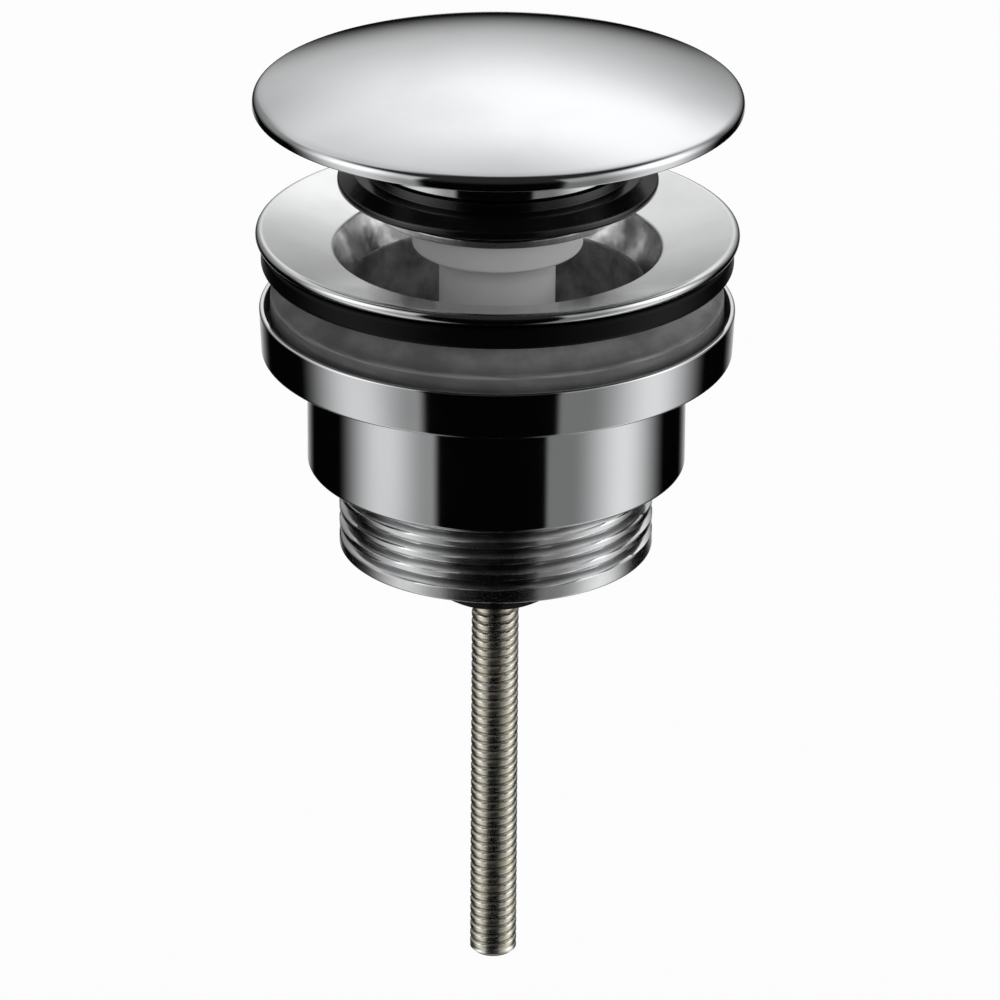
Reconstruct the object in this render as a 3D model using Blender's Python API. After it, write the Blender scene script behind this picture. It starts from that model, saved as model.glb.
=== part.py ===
"""Pop-up basin waste with a mushroom cap, a push-push cartridge and a bolted tail.

Units are metres. The Z axis is the axis of the waste, and z = 0 is the plane under the
flange gasket, where the waste sits on the basin. The plug stands open.
"""

import math

import bmesh
import bpy
from mathutils import Matrix, Vector

# Fits: the gap between seated pieces, between running pieces, and round a pressed pin
SEAT_GAP = 0.0003
RUNNING_GAP = 0.0003
PRESS_GAP = 0.0001

# Flange: a dished plate whose throat turns down into the neck
DISH_WIDTH = 0.0102
FLANGE_PLATE = 0.0016
FLANGE_ROUND = 0.00075
DISH_ANGLE = math.radians(15.35)
THROAT_TOP = 0.0024
THROAT_FLARE = 0.0022
THROAT_ROUND = 0.0005
THROAT_DEPTH = 0.0054
BORE_RADIUS = 0.0195
NECK_WALL = 0.0029
NECK_LENGTH = 0.0223

# Cross at the foot of the neck, with the hub that carries the cartridge and the rod
CROSS_HUB_LEDGE = 0.00082
CROSS_HEIGHT = 0.005
CROSS_BAR_WIDTH = 0.0034
CROSS_BAR_RELIEF = 0.0004
CROSS_ANGLE = math.radians(45)

# Flange gasket
GASKET_INSET = 0.0007
GASKET_ROUND = 0.0006

# Threaded rod and its lock nut
ROD_RADIUS = 0.003175
ROD_BELOW_SEAT = 0.1016
ROD_END_CHAMFER = 0.0005
LOCK_NUT_FLATS = 0.0111
LOCK_NUT_FACE_RADIUS = 0.0053
LOCK_NUT_HEIGHT = 0.003

# Cartridge: base sleeve, barrel, guide bush, index ring with its pins, and return spring
BASE_IN_BARREL = 0.0047
BASE_CROWN = 0.002
PLUNGER_RADIUS = 0.0049
RING_WALL = 0.0011
RING_HEIGHT = 0.0032
BARREL_WALL = 0.00108
BUSH_HEIGHT = 0.0018
PIN_RADIUS = 0.0006
PIN_COUNT = 3
SPRING_RADIUS = 0.00265
SPRING_WIRE = 0.0006
SPRING_TURNS = 10
SPRING_PLAY = 0.00035

# Plunger: the zigzag track turns the index ring by one step on each stroke
PLUG_TRAVEL = 0.0095
STOP_ROOM = 0.0004
INDEX_STEP = math.radians(60)
TRACK_WIDTH = 0.0018
TRACK_DEPTH = 0.0012
STUD_RADIUS = 0.0024
STUD_IN_PLUNGER = 0.0047
STUD_IN_CAP = 0.0036
PLUNGER_WEB = 0.0014

# Plug: collar, chrome neck, seal and the ring that holds the seal
COLLAR_WALL = 0.00328
COLLAR_LENGTH = 0.0145
COLLAR_PLATE = 0.0015
COLLAR_ROUND = 0.0004
PLUG_SPIGOT_WALL = 0.0013
PLUG_SEAT_STEP = 0.0017
PLUG_NECK_STEP = 0.00274
PLUG_NECK_HEIGHT = 0.0052
PLUG_CEILING = 0.0029
SEAL_REACH = 0.0016
SEAL_THICKNESS = 0.0053
SEAL_EDGE_RISE = 0.0017
SEAL_SIDE = 0.0009
SEAL_ROUND = 0.0004
SEAL_SHELF_WIDTH = 0.0017
SEAL_SHELF_DROP = 0.0014
RETAINER_LIP = 0.00199
RETAINER_HEIGHT = 0.001

# Mushroom cap, and the pad that it is screwed down on
PAD_INSET = 0.0005
PAD_THICKNESS = 0.0011
CAP_RADIUS = 0.0322
CAP_EDGE = 0.0014
CAP_EDGE_DRAFT = 0.0009
CAP_EDGE_FALL = 0.0004
CAP_ROUND = 0.00045
CAP_DOME_RISE = 0.0059
CAP_RIM_FACE = 0.0028
CAP_BOSS_LIP = 0.0017
CAP_RELIEF = 0.001

# Sealing washer and friction washer under the basin
WASHER_WIDTH = 0.0067
WASHER_CLEARANCE = 0.0008
WASHER_HEIGHT = 0.0091
WASHER_CONE = 0.004
WASHER_LAND = 0.0014
WASHER_ROUND = 0.0004
FRICTION_WASHER = 0.0006

# Tail: a cup for the washer, a barrel round the neck and a G 1 1/4 tail for the trap
CUP_WALL = 0.0007
CUP_HEIGHT = 0.0063
CUP_FLOOR = 0.0017
CUP_TAPER = 0.0003
NECK_CLEARANCE = 0.0009
TAIL_BARREL_WALL = 0.00186
NECK_END_ROOM = 0.0034
TAIL_SHOULDER = 0.0024
TAIL_THREAD_RADIUS = 0.020955
TAIL_LENGTH = 0.012
TAIL_WALL = 0.00265
TAIL_CHAMFER = 0.0006
EDGE_ROUND = 0.0004
TAIL_HUB_RADIUS = 0.0065
TAIL_HUB_HEIGHT = 0.0065
TAIL_HUB_RECESS = 0.0005

# Clamp nut and its washer under the tail
CLAMP_WASHER_RADIUS = 0.0078
CLAMP_WASHER_THICKNESS = 0.001
CLAMP_NUT_FLATS = 0.0142
CLAMP_NUT_FACE_RADIUS = 0.0068
CLAMP_NUT_HEIGHT = 0.0062
NUT_CHAMFER_ANGLE = math.radians(30)

# Facets, and the largest share of a wall's edge that a fillet takes
LARGE_FACETS = 56
MEDIUM_FACETS = 40
SMALL_FACETS = 24
PIN_FACETS = 12
ROUND_SHARE = 0.47
TRACK_FACETS_PER_STEP = 8
DOME_STEPS = 7
ARC_STEP = math.radians(46)
SPRING_POINTS_PER_TURN = 10
CUT_MARGIN = 0.001
MERGE = 0.000001

# Radii that follow from the pieces inside them
RING_BORE = PLUNGER_RADIUS + RUNNING_GAP
RING_RADIUS = RING_BORE + RING_WALL
RING_POCKET = RING_RADIUS + RUNNING_GAP
BARREL_RADIUS = RING_POCKET + BARREL_WALL
BASE_RADIUS = RING_BORE - SEAT_GAP
ROD_HOLE = ROD_RADIUS + SEAT_GAP
SPRING_BORE = SPRING_RADIUS + SPRING_PLAY
STUD_HOLE = STUD_RADIUS + SEAT_GAP
COLLAR_BORE = BARREL_RADIUS + RUNNING_GAP
COLLAR_RADIUS = COLLAR_BORE + COLLAR_WALL
PLUG_CAVITY = COLLAR_RADIUS + SEAT_GAP
PLUG_SPIGOT_RADIUS = PLUG_CAVITY + PLUG_SPIGOT_WALL
PLUG_SEAT_RADIUS = PLUG_SPIGOT_RADIUS + PLUG_SEAT_STEP
PLUG_NECK_RADIUS = PLUG_SEAT_RADIUS + PLUG_NECK_STEP
RETAINER_RADIUS = PLUG_SEAT_RADIUS + RETAINER_LIP
SEAL_SHELF_RADIUS = PLUG_NECK_RADIUS + SEAL_SHELF_WIDTH
PAD_RADIUS = PLUG_NECK_RADIUS - PAD_INSET
CAP_BOSS_RADIUS = PAD_RADIUS + CAP_BOSS_LIP
CROSS_HUB_RADIUS = BARREL_RADIUS + CROSS_HUB_LEDGE

# Radii that follow from the bore and the flange
THROAT_RADIUS = BORE_RADIUS + THROAT_FLARE
SEAL_RADIUS = BORE_RADIUS + SEAL_REACH
NECK_RADIUS = BORE_RADIUS + NECK_WALL
FLANGE_RADIUS = THROAT_RADIUS + DISH_WIDTH
GASKET_RADIUS = FLANGE_RADIUS - GASKET_INSET
TAIL_BARREL_BORE = NECK_RADIUS + NECK_CLEARANCE
TAIL_BARREL_RADIUS = TAIL_BARREL_BORE + TAIL_BARREL_WALL
TAIL_BORE = TAIL_THREAD_RADIUS - TAIL_WALL
WASHER_RADIUS = TAIL_BARREL_BORE + WASHER_WIDTH
CUP_RADIUS = WASHER_RADIUS + WASHER_CLEARANCE + CUP_WALL

# The dish rises from the throat to the rim, and the gasket follows its underside
DISH_SLOPE = math.tan(DISH_ANGLE)
FLANGE_HEIGHT = THROAT_TOP + DISH_WIDTH * DISH_SLOPE

# Heights of the fixed pieces
THROAT_BOTTOM = THROAT_TOP - THROAT_DEPTH
NECK_BOTTOM = -NECK_LENGTH
CROSS_TOP = NECK_BOTTOM + CROSS_HEIGHT
BARREL_BOTTOM = CROSS_TOP + SEAT_GAP
BASE_TOP = BARREL_BOTTOM + BASE_IN_BARREL
ROD_TOP = BASE_TOP - BASE_CROWN - SEAT_GAP
LOCK_NUT_BOTTOM = NECK_BOTTOM - SEAT_GAP - LOCK_NUT_HEIGHT

# Heights of the plug when it stands open: the seal is one travel above its seat in the throat
THROAT_TAPER = THROAT_FLARE / THROAT_DEPTH
SEAL_SEAT = THROAT_BOTTOM + (SEAL_RADIUS + SEAT_GAP - BORE_RADIUS) / THROAT_TAPER
SEAL_BOTTOM = SEAL_SEAT + PLUG_TRAVEL - SEAL_EDGE_RISE
SEAL_TOP = SEAL_BOTTOM + SEAL_THICKNESS
RETAINER_BOTTOM = SEAL_BOTTOM - SEAT_GAP - RETAINER_HEIGHT
PLUG_SHOULDER = SEAL_TOP + SEAT_GAP
PLUG_TOP = PLUG_SHOULDER + PLUG_NECK_HEIGHT
PAD_BOTTOM = PLUG_TOP + SEAT_GAP
CAP_BOTTOM = PAD_BOTTOM + PAD_THICKNESS + SEAT_GAP
COLLAR_TOP = PLUG_TOP - PLUG_CEILING - SEAT_GAP
COLLAR_BOTTOM = COLLAR_TOP - COLLAR_LENGTH
PLUNGER_TOP = COLLAR_TOP - COLLAR_PLATE - SEAT_GAP
PLUNGER_BOTTOM = BASE_TOP + PLUG_TRAVEL + SEAT_GAP

# Heights inside the cartridge
BARREL_TOP = COLLAR_TOP - COLLAR_PLATE - PLUG_TRAVEL - STOP_ROOM
BUSH_BOTTOM = BARREL_TOP - BUSH_HEIGHT
RING_BOTTOM = BUSH_BOTTOM - RUNNING_GAP - RING_HEIGHT
PIN_HEIGHT = RING_BOTTOM + RING_HEIGHT / 2
SPRING_BOTTOM = BASE_TOP + SEAT_GAP
SPRING_TOP = PLUNGER_TOP - STUD_IN_PLUNGER - PLUNGER_WEB - SEAT_GAP

# Heights of the tail, drawn up against the flange gasket
WASHER_BOTTOM = -SEAT_GAP - WASHER_HEIGHT
FRICTION_BOTTOM = WASHER_BOTTOM - SEAT_GAP - FRICTION_WASHER
CUP_BOTTOM = FRICTION_BOTTOM - SEAT_GAP - CUP_FLOOR
TAIL_BARREL_BOTTOM = NECK_BOTTOM - NECK_END_ROOM - TAIL_SHOULDER
TAIL_BOTTOM = TAIL_BARREL_BOTTOM - TAIL_LENGTH
TAIL_HUB_BOTTOM = TAIL_BOTTOM + TAIL_HUB_RECESS
CLAMP_WASHER_BOTTOM = TAIL_HUB_BOTTOM - SEAT_GAP - CLAMP_WASHER_THICKNESS
CLAMP_NUT_BOTTOM = CLAMP_WASHER_BOTTOM - SEAT_GAP - CLAMP_NUT_HEIGHT


def clear_scene():
    for thing in list(bpy.data.objects):
        bpy.data.objects.remove(thing, do_unlink=True)


def finish(name, colour, metallic, roughness):
    material = bpy.data.materials.new(name)
    material.use_nodes = True
    shader = material.node_tree.nodes["Principled BSDF"]
    shader.inputs["Base Color"].default_value = (*colour, 1.0)
    shader.inputs["Metallic"].default_value = metallic
    shader.inputs["Roughness"].default_value = roughness
    return material


def height_of(thing):
    """The height of a parent above the basin seat."""
    height = 0
    while thing:
        height += thing.location.z
        thing = thing.parent
    return height


def add_object(name, data, height, parent=None):
    """Links an object, or an empty where there is no data, on the axis at this height."""
    thing = bpy.data.objects.new(name, data)
    thing.parent = parent
    thing.location.z = height - height_of(parent)
    bpy.context.scene.collection.objects.link(thing)
    return thing


def from_bmesh(name, built, height, material=None, parent=None):
    bmesh.ops.recalc_face_normals(built, faces=built.faces)
    mesh = bpy.data.meshes.new(name)
    built.to_mesh(mesh)
    built.free()
    if material:
        mesh.materials.append(material)
    mesh.shade_smooth()
    mesh.set_sharp_from_angle(angle=math.radians(30))
    return add_object(name, mesh, height, parent)


def rounded(corners):
    """The outline through these corners. A third value at a corner is its fillet radius."""
    outline = []
    for index, (radius, height, *fillet) in enumerate(corners):
        corner = Vector((radius, height))
        if not fillet:
            outline.append(corner)
            continue
        back = (Vector(corners[index - 1][:2]) - corner).normalized()
        ahead = (Vector(corners[(index + 1) % len(corners)][:2]) - corner).normalized()
        half = back.angle(ahead) / 2
        centre = corner + (back + ahead).normalized() * fillet[0] / math.sin(half)
        start = corner + back * fillet[0] / math.tan(half) - centre
        sweep = start.angle_signed(corner + ahead * fillet[0] / math.tan(half) - centre)
        steps = max(1, math.ceil(abs(sweep) / ARC_STEP))
        for step in range(steps + 1):
            turned_by = -sweep * step / steps
            outline.append(centre + Matrix.Rotation(turned_by, 2) @ start)
    return outline


def turned(name, height, corners, facets, material=None, parent=None):
    """A solid of revolution. An outline that starts and ends on the axis is left open there."""
    outline = rounded(corners)
    built = bmesh.new()
    points = [built.verts.new((point.x, 0, point.y)) for point in outline]
    edges = [built.edges.new(pair) for pair in zip(points, points[1:])]
    if outline[0].x > 0:
        edges.append(built.edges.new((points[-1], points[0])))
    bmesh.ops.spin(built, geom=points + edges, cent=(0, 0, 0), axis=(0, 0, 1),
                   angle=math.tau, steps=facets, use_merge=True)
    bmesh.ops.remove_doubles(built, verts=built.verts, dist=MERGE)
    return from_bmesh(name, built, height, material, parent)


def ring(name, height, inner, outer, thickness, facets, material, parent=None):
    corners = [(inner, 0), (outer, 0), (outer, thickness), (inner, thickness)]
    return turned(name, height, corners, facets, material, parent)


def block(name, height, size, turn):
    """A bar across the axis with its underside at this height."""
    built = bmesh.new()
    bmesh.ops.create_cube(built, size=1)
    bmesh.ops.scale(built, vec=size, verts=built.verts)
    bmesh.ops.translate(built, vec=(0, 0, size[2] / 2), verts=built.verts)
    bmesh.ops.rotate(built, matrix=Matrix.Rotation(turn, 3, "Z"), verts=built.verts)
    return from_bmesh(name, built, height)


def bridge(built, sections):
    """The walls of a ring of sections, each a closed loop with the same number of points."""
    for here, after in zip(sections, sections[1:] + sections[:1]):
        for corner in range(len(here)):
            built.faces.new((here[corner - 1], here[corner], after[corner], after[corner - 1]))


def combine(target, other, operation):
    """A Boolean with a helper object that stays out of the render."""
    other.hide_render = True
    other.display_type = "WIRE"
    change = target.modifiers.new(other.name, "BOOLEAN")
    change.operation = operation
    change.object = other


def cylinder(name, height, radius, length):
    corners = [(0, 0), (radius, 0), (radius, length), (0, length)]
    return turned(name, height, corners, SMALL_FACETS)


def bore_through(target, height, radius, length):
    """A hole on the axis, cut past both ends of a stretch that starts at this height."""
    hole = cylinder(target.name + "_hole", height - CUT_MARGIN, radius, length + 2 * CUT_MARGIN)
    combine(target, hole, "DIFFERENCE")


def cross(target, height, hub_height, hub_radius, bar_height, reach, hole):
    """Joins a hub and two crossed bars to a turned body, and bores the hub."""
    hub = cylinder(target.name + "_hub", height, hub_radius, hub_height)
    combine(target, hub, "UNION")
    size = (2 * reach, CROSS_BAR_WIDTH, bar_height)
    for side in (1, -1):
        bar = block(f"{target.name}_bar_{side}", height + (hub_height - bar_height) / 2, size,
                    side * CROSS_ANGLE)
        combine(target, bar, "UNION")
    bore_through(target, height, hole, hub_height)


def hex_nut(name, height, flats, face_radius, thickness, material, parent=None):
    """A hexagon nut on the rod, with its corners chamfered down to a round face at each end."""
    side = math.tau / 6
    built = bmesh.new()
    sections = []
    for column in range(SMALL_FACETS):
        angle = math.tau * column / SMALL_FACETS
        reach = flats / 2 / math.cos((angle + side / 2) % side - side / 2)
        chamfer = (reach - face_radius) * math.tan(NUT_CHAMFER_ANGLE)
        turn = Matrix.Rotation(angle, 3, "Z")
        outline = [(ROD_HOLE, 0), (face_radius, 0), (reach, chamfer),
                   (reach, thickness - chamfer), (face_radius, thickness), (ROD_HOLE, thickness)]
        sections.append([built.verts.new(turn @ Vector((x, 0, z))) for x, z in outline])
    bridge(built, sections)
    from_bmesh(name, built, height, material, parent)


def flange_underside(radius):
    return FLANGE_HEIGHT - FLANGE_PLATE - (FLANGE_RADIUS - radius) * DISH_SLOPE


def make_flange(material):
    """Dish, throat and neck in one casting, with the cross at the foot of the neck."""
    rim_round = min(FLANGE_ROUND, FLANGE_PLATE * ROUND_SHARE)
    flange = turned("flange", 0, [
        (BORE_RADIUS, NECK_BOTTOM),
        (NECK_RADIUS, NECK_BOTTOM),
        (NECK_RADIUS, flange_underside(NECK_RADIUS)),
        (FLANGE_RADIUS, flange_underside(FLANGE_RADIUS), rim_round),
        (FLANGE_RADIUS, FLANGE_HEIGHT, rim_round),
        (THROAT_RADIUS, THROAT_TOP, THROAT_ROUND),
        (BORE_RADIUS, THROAT_BOTTOM),
    ], LARGE_FACETS, material)
    cross(flange, NECK_BOTTOM, CROSS_HEIGHT, CROSS_HUB_RADIUS,
          CROSS_HEIGHT - 2 * CROSS_BAR_RELIEF, BORE_RADIUS + NECK_WALL / 2, RING_BORE)


def make_gasket(material):
    """A flat ring squeezed to the slope of the dish on its upper side."""
    inner = NECK_RADIUS + SEAT_GAP
    turned("flange_gasket", 0, [
        (inner, 0),
        (GASKET_RADIUS, 0, GASKET_ROUND),
        (GASKET_RADIUS, flange_underside(GASKET_RADIUS) - SEAT_GAP, GASKET_ROUND),
        (inner, flange_underside(inner) - SEAT_GAP),
    ], LARGE_FACETS, material)


def make_rod(steel):
    """The rod screws up into the cartridge base, and a thin nut locks it under the hub."""
    length = ROD_TOP + ROD_BELOW_SEAT
    turned("through_rod", -ROD_BELOW_SEAT, [
        (0, 0),
        (ROD_RADIUS - ROD_END_CHAMFER, 0),
        (ROD_RADIUS, ROD_END_CHAMFER),
        (ROD_RADIUS, length),
        (0, length),
    ], SMALL_FACETS, steel)
    hex_nut("rod_lock_nut", LOCK_NUT_BOTTOM, LOCK_NUT_FLATS, LOCK_NUT_FACE_RADIUS,
            LOCK_NUT_HEIGHT, steel)


def make_cartridge(plastic, brass):
    """The fixed half of the cartridge: a brass base in the hub, and the barrel that stands on it."""
    height = BASE_TOP - NECK_BOTTOM
    turned("cartridge_base", NECK_BOTTOM, [
        (0, height - BASE_CROWN),
        (ROD_HOLE, height - BASE_CROWN),
        (ROD_HOLE, 0),
        (BASE_RADIUS, 0),
        (BASE_RADIUS, height),
        (0, height),
    ], SMALL_FACETS, brass)
    height = BARREL_TOP - BARREL_BOTTOM
    shelf = RING_BOTTOM - RUNNING_GAP - BARREL_BOTTOM
    turned("cartridge_barrel", BARREL_BOTTOM, [
        (RING_BORE, 0),
        (BARREL_RADIUS, 0),
        (BARREL_RADIUS, height),
        (RING_POCKET, height),
        (RING_POCKET, shelf),
        (RING_BORE, shelf),
    ], MEDIUM_FACETS, plastic)
    ring("guide_bush", BUSH_BOTTOM, RING_BORE, RING_RADIUS, BUSH_HEIGHT, SMALL_FACETS, plastic)


def radial_rod(name, radius, inner, outer, number, material=None, parent=None):
    """A short rod at the pin height that points at the axis, in one of the pins' places."""
    built = bmesh.new()
    bmesh.ops.create_cone(built, segments=PIN_FACETS, radius1=radius, radius2=radius,
                          depth=outer - inner, cap_ends=True)
    place = (Matrix.Rotation(math.tau * number / PIN_COUNT, 4, "Z")
             @ Matrix.Translation(((inner + outer) / 2, 0, 0))
             @ Matrix.Rotation(math.pi / 2, 4, "Y"))
    bmesh.ops.transform(built, matrix=place, verts=built.verts)
    return from_bmesh(name, built, PIN_HEIGHT, material, parent)


def make_index_ring(plastic, steel, joint):
    """The ring turns in the barrel, and its pins ride in the zigzag track of the plunger."""
    index_ring = ring("index_ring", RING_BOTTOM, RING_BORE, RING_RADIUS, RING_HEIGHT,
                      MEDIUM_FACETS, plastic, joint)
    tip = PLUNGER_RADIUS - TRACK_DEPTH + RUNNING_GAP
    for number in range(PIN_COUNT):
        hole = radial_rod(f"index_pin_hole_{number + 1}", PIN_RADIUS + PRESS_GAP,
                          PLUNGER_RADIUS, RING_RADIUS + CUT_MARGIN, number, parent=joint)
        combine(index_ring, hole, "DIFFERENCE")
        radial_rod(f"index_pin_{number + 1}", PIN_RADIUS, tip, RING_RADIUS, number, steel, joint)


def track_cutter(parent):
    """The zigzag track: from the pin's height it climbs one travel in each index step, then falls."""
    floor = PLUNGER_RADIUS - TRACK_DEPTH
    outside = PLUNGER_RADIUS + CUT_MARGIN
    run = INDEX_STEP * (PLUNGER_RADIUS - TRACK_DEPTH / 2)
    half = TRACK_WIDTH / 2 * math.hypot(run, PLUG_TRAVEL) / run
    columns = round(math.tau / INDEX_STEP) * TRACK_FACETS_PER_STEP
    built = bmesh.new()
    sections = []
    for column in range(columns):
        angle = math.tau * column / columns
        phase = angle / INDEX_STEP % 2
        centre = PLUG_TRAVEL * min(phase, 2 - phase)
        turn = Matrix.Rotation(angle, 3, "Z")
        section = [(floor, centre - half), (outside, centre - half),
                   (outside, centre + half), (floor, centre + half)]
        sections.append([built.verts.new(turn @ Vector((x, 0, z))) for x, z in section])
    bridge(built, sections)
    return from_bmesh("index_track", built, PIN_HEIGHT, parent=parent)


def make_plunger(plastic, joint):
    """The moving core: a bore for the spring below, a bore for the stud above, the track outside."""
    height = PLUNGER_TOP - PLUNGER_BOTTOM
    ceiling = height - STUD_IN_PLUNGER - PLUNGER_WEB
    plunger = turned("plunger", PLUNGER_BOTTOM, [
        (0, ceiling),
        (SPRING_BORE, ceiling),
        (SPRING_BORE, 0),
        (PLUNGER_RADIUS, 0),
        (PLUNGER_RADIUS, height),
        (STUD_HOLE, height),
        (STUD_HOLE, height - STUD_IN_PLUNGER),
        (0, height - STUD_IN_PLUNGER),
    ], MEDIUM_FACETS, plastic, joint)
    combine(plunger, track_cutter(joint), "DIFFERENCE")


def spring_height(turn):
    """The coil's height at this many turns: close wound over the first and last turn."""
    closed_pitch = SPRING_WIRE + PRESS_GAP
    free_height = SPRING_TOP - SPRING_BOTTOM - SPRING_WIRE
    open_pitch = (free_height - 2 * closed_pitch) / (SPRING_TURNS - 2)
    closed = min(turn, 1) + max(turn - SPRING_TURNS + 1, 0)
    return SPRING_WIRE / 2 + closed * closed_pitch + (turn - closed) * open_pitch


def make_spring(steel):
    curve = bpy.data.curves.new("return_spring", "CURVE")
    curve.dimensions = "3D"
    curve.bevel_depth = SPRING_WIRE / 2
    curve.bevel_resolution = 1
    curve.use_fill_caps = True
    curve.materials.append(steel)
    count = SPRING_TURNS * SPRING_POINTS_PER_TURN
    path = curve.splines.new("POLY")
    path.points.add(count)
    coil_radius = SPRING_RADIUS - SPRING_WIRE / 2
    for index, point in enumerate(path.points):
        turn = index / SPRING_POINTS_PER_TURN
        angle = math.tau * turn
        point.co = (coil_radius * math.cos(angle), coil_radius * math.sin(angle),
                    spring_height(turn), 1)
    add_object("return_spring", curve, SPRING_BOTTOM)


def make_plug(chrome, rubber, plastic, joint):
    """Chrome neck, with the seal held by a ring screwed on below it and the collar inside it."""
    collar_plate = COLLAR_LENGTH - COLLAR_PLATE
    turned("collar", COLLAR_BOTTOM, [
        (COLLAR_BORE, 0),
        (COLLAR_RADIUS, 0, COLLAR_ROUND),
        (COLLAR_RADIUS, COLLAR_LENGTH),
        (STUD_HOLE, COLLAR_LENGTH),
        (STUD_HOLE, collar_plate),
        (COLLAR_BORE, collar_plate),
    ], MEDIUM_FACETS, plastic, joint)
    seat = RETAINER_HEIGHT + SEAT_GAP
    shoulder = PLUG_SHOULDER - RETAINER_BOTTOM
    top = PLUG_TOP - RETAINER_BOTTOM
    turned("plug_neck", RETAINER_BOTTOM, [
        (PLUG_CAVITY, 0),
        (PLUG_SPIGOT_RADIUS, 0),
        (PLUG_SPIGOT_RADIUS, seat),
        (PLUG_SEAT_RADIUS, seat),
        (PLUG_SEAT_RADIUS, shoulder),
        (PLUG_NECK_RADIUS, shoulder),
        (PLUG_NECK_RADIUS, top),
        (STUD_HOLE, top),
        (STUD_HOLE, top - PLUG_CEILING),
        (PLUG_CAVITY, top - PLUG_CEILING),
    ], MEDIUM_FACETS, chrome, joint)
    ring("seal_retainer", RETAINER_BOTTOM, PLUG_SPIGOT_RADIUS + SEAT_GAP, RETAINER_RADIUS,
         RETAINER_HEIGHT, MEDIUM_FACETS, chrome, joint)
    inner = PLUG_SEAT_RADIUS + SEAT_GAP
    turned("plug_seal", SEAL_BOTTOM, [
        (inner, 0),
        (RETAINER_RADIUS, 0),
        (SEAL_RADIUS, SEAL_EDGE_RISE, SEAL_ROUND),
        (SEAL_RADIUS, SEAL_EDGE_RISE + SEAL_SIDE, SEAL_ROUND),
        (SEAL_SHELF_RADIUS, SEAL_THICKNESS - SEAL_SHELF_DROP),
        (PLUG_NECK_RADIUS, SEAL_THICKNESS),
        (inner, SEAL_THICKNESS),
    ], LARGE_FACETS, rubber, joint)


def make_cap(chrome, rubber, brass, joint):
    """The mushroom cap, screwed down on a rubber pad by the stud in its boss."""
    ring("cap_pad", PAD_BOTTOM, STUD_HOLE, PAD_RADIUS, PAD_THICKNESS, MEDIUM_FACETS, rubber, joint)
    edge_radius = CAP_RADIUS - CAP_EDGE_DRAFT
    sphere = (edge_radius ** 2 + CAP_DOME_RISE ** 2) / (2 * CAP_DOME_RISE)
    sweep = math.asin(edge_radius / sphere)
    dome = []
    for step in range(DOME_STEPS + 1):
        angle = sweep * step / DOME_STEPS
        drop = sphere * (1 - math.cos(angle))
        dome.append((sphere * math.sin(angle), CAP_EDGE + CAP_DOME_RISE - drop))
    face_radius = CAP_RADIUS - CAP_RIM_FACE
    hole_depth = STUD_IN_CAP + SEAT_GAP
    turned("cap", CAP_BOTTOM, dome + [
        (CAP_RADIUS, CAP_EDGE - CAP_EDGE_FALL, CAP_ROUND),
        (CAP_RADIUS, 0, CAP_ROUND),
        (face_radius, 0),
        (face_radius, CAP_RELIEF),
        (CAP_BOSS_RADIUS, CAP_RELIEF),
        (CAP_BOSS_RADIUS, 0),
        (STUD_HOLE, 0),
        (STUD_HOLE, hole_depth),
        (0, hole_depth),
    ], LARGE_FACETS, chrome, joint)
    bottom = PLUNGER_TOP - STUD_IN_PLUNGER + SEAT_GAP
    length = CAP_BOTTOM + STUD_IN_CAP - bottom
    turned("cap_stud", bottom, [
        (0, 0), (STUD_RADIUS, 0), (STUD_RADIUS, length), (0, length),
    ], SMALL_FACETS, brass, joint)


def make_washers(rubber, plastic, joint):
    """The thick washer that seals under the basin, on a slippery ring in the cup."""
    shoulder = WASHER_HEIGHT - WASHER_CONE
    turned("sealing_washer", WASHER_BOTTOM, [
        (TAIL_BARREL_BORE, 0),
        (WASHER_RADIUS, 0),
        (WASHER_RADIUS, shoulder, WASHER_ROUND),
        (TAIL_BARREL_BORE + WASHER_LAND, WASHER_HEIGHT),
        (TAIL_BARREL_BORE, WASHER_HEIGHT),
    ], LARGE_FACETS, rubber, joint)
    ring("friction_washer", FRICTION_BOTTOM, TAIL_BARREL_BORE, WASHER_RADIUS, FRICTION_WASHER,
         LARGE_FACETS, plastic, joint)


def make_tail(chrome, joint):
    """Cup, barrel and threaded tail in one casting, with a cross that the rod runs through."""
    barrel = TAIL_BARREL_BOTTOM - TAIL_BOTTOM
    cup = CUP_BOTTOM - TAIL_BOTTOM
    cup_bore = CUP_RADIUS - CUP_WALL
    tail = turned("tail_body", TAIL_BOTTOM, [
        (TAIL_BORE, 0),
        (TAIL_THREAD_RADIUS - TAIL_CHAMFER, 0),
        (TAIL_THREAD_RADIUS, TAIL_CHAMFER),
        (TAIL_THREAD_RADIUS, barrel),
        (TAIL_BARREL_RADIUS, barrel, EDGE_ROUND),
        (TAIL_BARREL_RADIUS, cup),
        (CUP_RADIUS - CUP_TAPER, cup, EDGE_ROUND),
        (CUP_RADIUS, cup + CUP_HEIGHT, CUP_WALL / 3),
        (cup_bore, cup + CUP_HEIGHT),
        (cup_bore, cup + CUP_FLOOR),
        (TAIL_BARREL_BORE, cup + CUP_FLOOR),
        (TAIL_BARREL_BORE, barrel + TAIL_SHOULDER),
        (TAIL_BORE, barrel + TAIL_SHOULDER),
    ], LARGE_FACETS, chrome, joint)
    cross(tail, TAIL_HUB_BOTTOM, TAIL_HUB_HEIGHT, TAIL_HUB_RADIUS,
          TAIL_HUB_HEIGHT - 2 * CROSS_BAR_RELIEF, TAIL_BORE + TAIL_WALL / 2, ROD_HOLE)


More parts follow.
